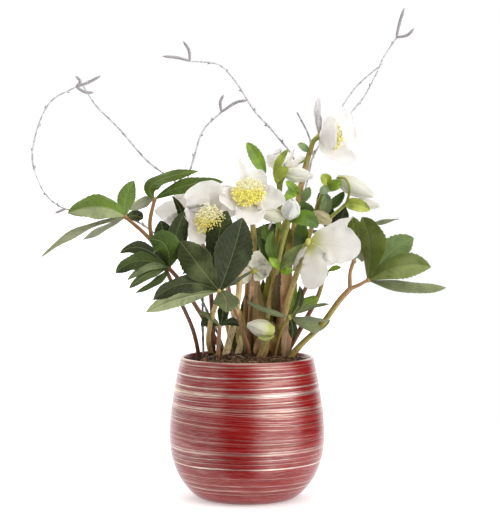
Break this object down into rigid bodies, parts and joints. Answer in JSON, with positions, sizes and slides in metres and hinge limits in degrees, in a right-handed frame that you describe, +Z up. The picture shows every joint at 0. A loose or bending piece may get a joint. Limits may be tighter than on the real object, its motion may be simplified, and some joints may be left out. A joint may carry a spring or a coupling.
{
  "type": "potted hellebore plant",
  "caption": "White hellebore with palmate leaves, nodding flowers and buds, and catkin twigs stuck into the soil, standing in a round bellied lacquered pot.",
  "frame": {"origin": "centre of the flat underside of the pot, on the surface that it stands on", "axes": "+Z up along the pot's axis, -Y towards the plant's front, +X to the right seen from the front"},
  "size_m": [0.3833, 0.1728, 0.4565],
  "materials": {
    "red_lacquer": "satin",
    "soil": "matte",
    "bark": "matte",
    "stems": "satin",
    "leaf_green": "satin",
    "leaf_dark": "satin",
    "petals": "matte",
    "stamens": "matte"
  },
  "bodies": {
    "root": {"bud_cream": "petals", "bud_low": "petals", "bud_low_stem": "stems", "bud_nodding": "petals", "bud_right": "petals", "bud_right_cream": "petals", "bud_right_stem": "stems", "bud_round": "petals", "bud_round_stem": "stems", "bud_upper": "petals", "flower_back_petals": "petals", "flower_back_stem": "stems", "flower_front_petals": "petals", "flower_front_stamens": "stamens", "flower_front_stem": "stems", "flower_left_petals": "petals", "flower_left_stamens": "stamens", "flower_left_stem": "stems", "flower_nodding_petals": "petals", "flower_nodding_stamens": "stamens", "flower_nodding_stem": "stems", "flower_small_petals": "petals", "flower_small_stem": "stems", "flower_top_petals": "petals", "flower_top_stamens": "stamens", "flower_top_stem": "stems", "flower_upper_petals": "petals", "flower_upper_stem": "stems", "leaf_back_left_blade": "leaf_dark", "leaf_back_left_stalk": "stems", "leaf_back_right_blade": "leaf_dark", "leaf_back_right_stalk": "stems", "leaf_front_blade": "leaf_dark", "leaf_front_stalk": "stems", "leaf_left_high_blade": "leaf_green", "leaf_left_high_stalk": "stems", "leaf_left_low_blade": "leaf_dark", "leaf_left_low_stalk": "stems", "leaf_low_left_blade": "leaf_dark", "leaf_low_left_stalk": "stems", "leaf_low_right_blade": "leaf_dark", "leaf_low_right_stalk": "stems", "leaf_right_blade": "leaf_green", "leaf_right_stalk": "stems", "pot": "red_lacquer", "shoot_right": "stems", "soil": "soil", "stalk_crossing": "stems", "stalk_left_bent": "stems", "stalk_middle_brown": "stems", "stalk_middle_dark": "stems", "twig_arched": "bark", "twig_forked": "bark", "twig_left": "bark", "twig_right": "bark", "twig_thin": "bark"}
  },
  "joints": []
}
